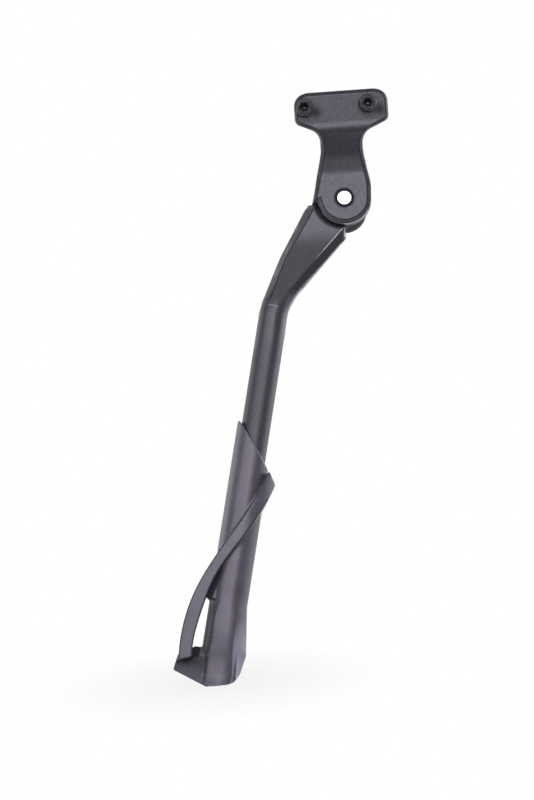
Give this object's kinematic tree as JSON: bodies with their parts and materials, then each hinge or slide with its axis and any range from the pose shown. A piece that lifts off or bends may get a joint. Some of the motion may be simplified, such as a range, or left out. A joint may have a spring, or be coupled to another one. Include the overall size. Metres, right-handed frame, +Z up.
{
  "type": "bicycle kickstand",
  "caption": "Folding bicycle side stand: a cranked bolt-on bracket, a splayed pivoting leg held over centre by a spring, and a height-adjustable moulded foot with a flowing strap.",
  "frame": {"origin": "midway between the two frame bolts, on the bracket's rear face, which lies against the frame lug", "axes": "+X to the bicycle's rear along the bolt line, +Y towards the frame along the bolts, +Z up"},
  "size_m": [0.1585, 0.1245, 0.3558],
  "materials": {
    "black_alloy": "satin black paint",
    "black_steel": "black oxide",
    "bright_steel": "zinc plated",
    "bush_bronze": "plain bronze",
    "foot_plastic": "fine moulded texture",
    "insert_brass": "knurled insert"
  },
  "bodies": {
    "bracket": {"mounting_bracket": "black_alloy", "front_bolt": "black_steel", "rear_bolt": "black_steel", "front_lock_washer": "black_steel", "rear_lock_washer": "black_steel", "pivot_pin": "bright_steel", "thrust_washer": "bright_steel", "pin_washer": "bright_steel", "bracket_spring_post": "bright_steel"},
    "leg": {"leg": "black_alloy", "pivot_bush": "bush_bronze", "leg_spring_post": "bright_steel"},
    "spring": {"return_spring": "bright_steel"},
    "foot": {"foot": "foot_plastic", "foot_screw_insert": "insert_brass", "foot_set_screw": "black_steel"}
  },
  "joints": [
    {"name": "leg_fold", "type": "hinge", "parent": "bracket", "child": "leg", "pos_m": [0.0018, 0, -0.0579], "axis": [0, -0.9563, 0.2924], "range_deg": [0, 100], "deforming": ["return_spring"]},
    {"name": "spring_swing", "type": "hinge", "parent": "bracket", "child": "spring", "pos_m": [-0.0018, 0.02711, -0.04243], "axis": [0, -0.9563, 0.2924], "range_deg": [0, 68]},
    {"name": "foot_height", "type": "slide", "parent": "leg", "child": "foot", "axis": [-0.219, -0.2853, -0.9331], "range_m": [-0.015, 0.02]}
  ],
  "couplings": [
    {"joint": "spring_swing", "follows": "leg_fold", "ratio": 0.6767}
  ]
}
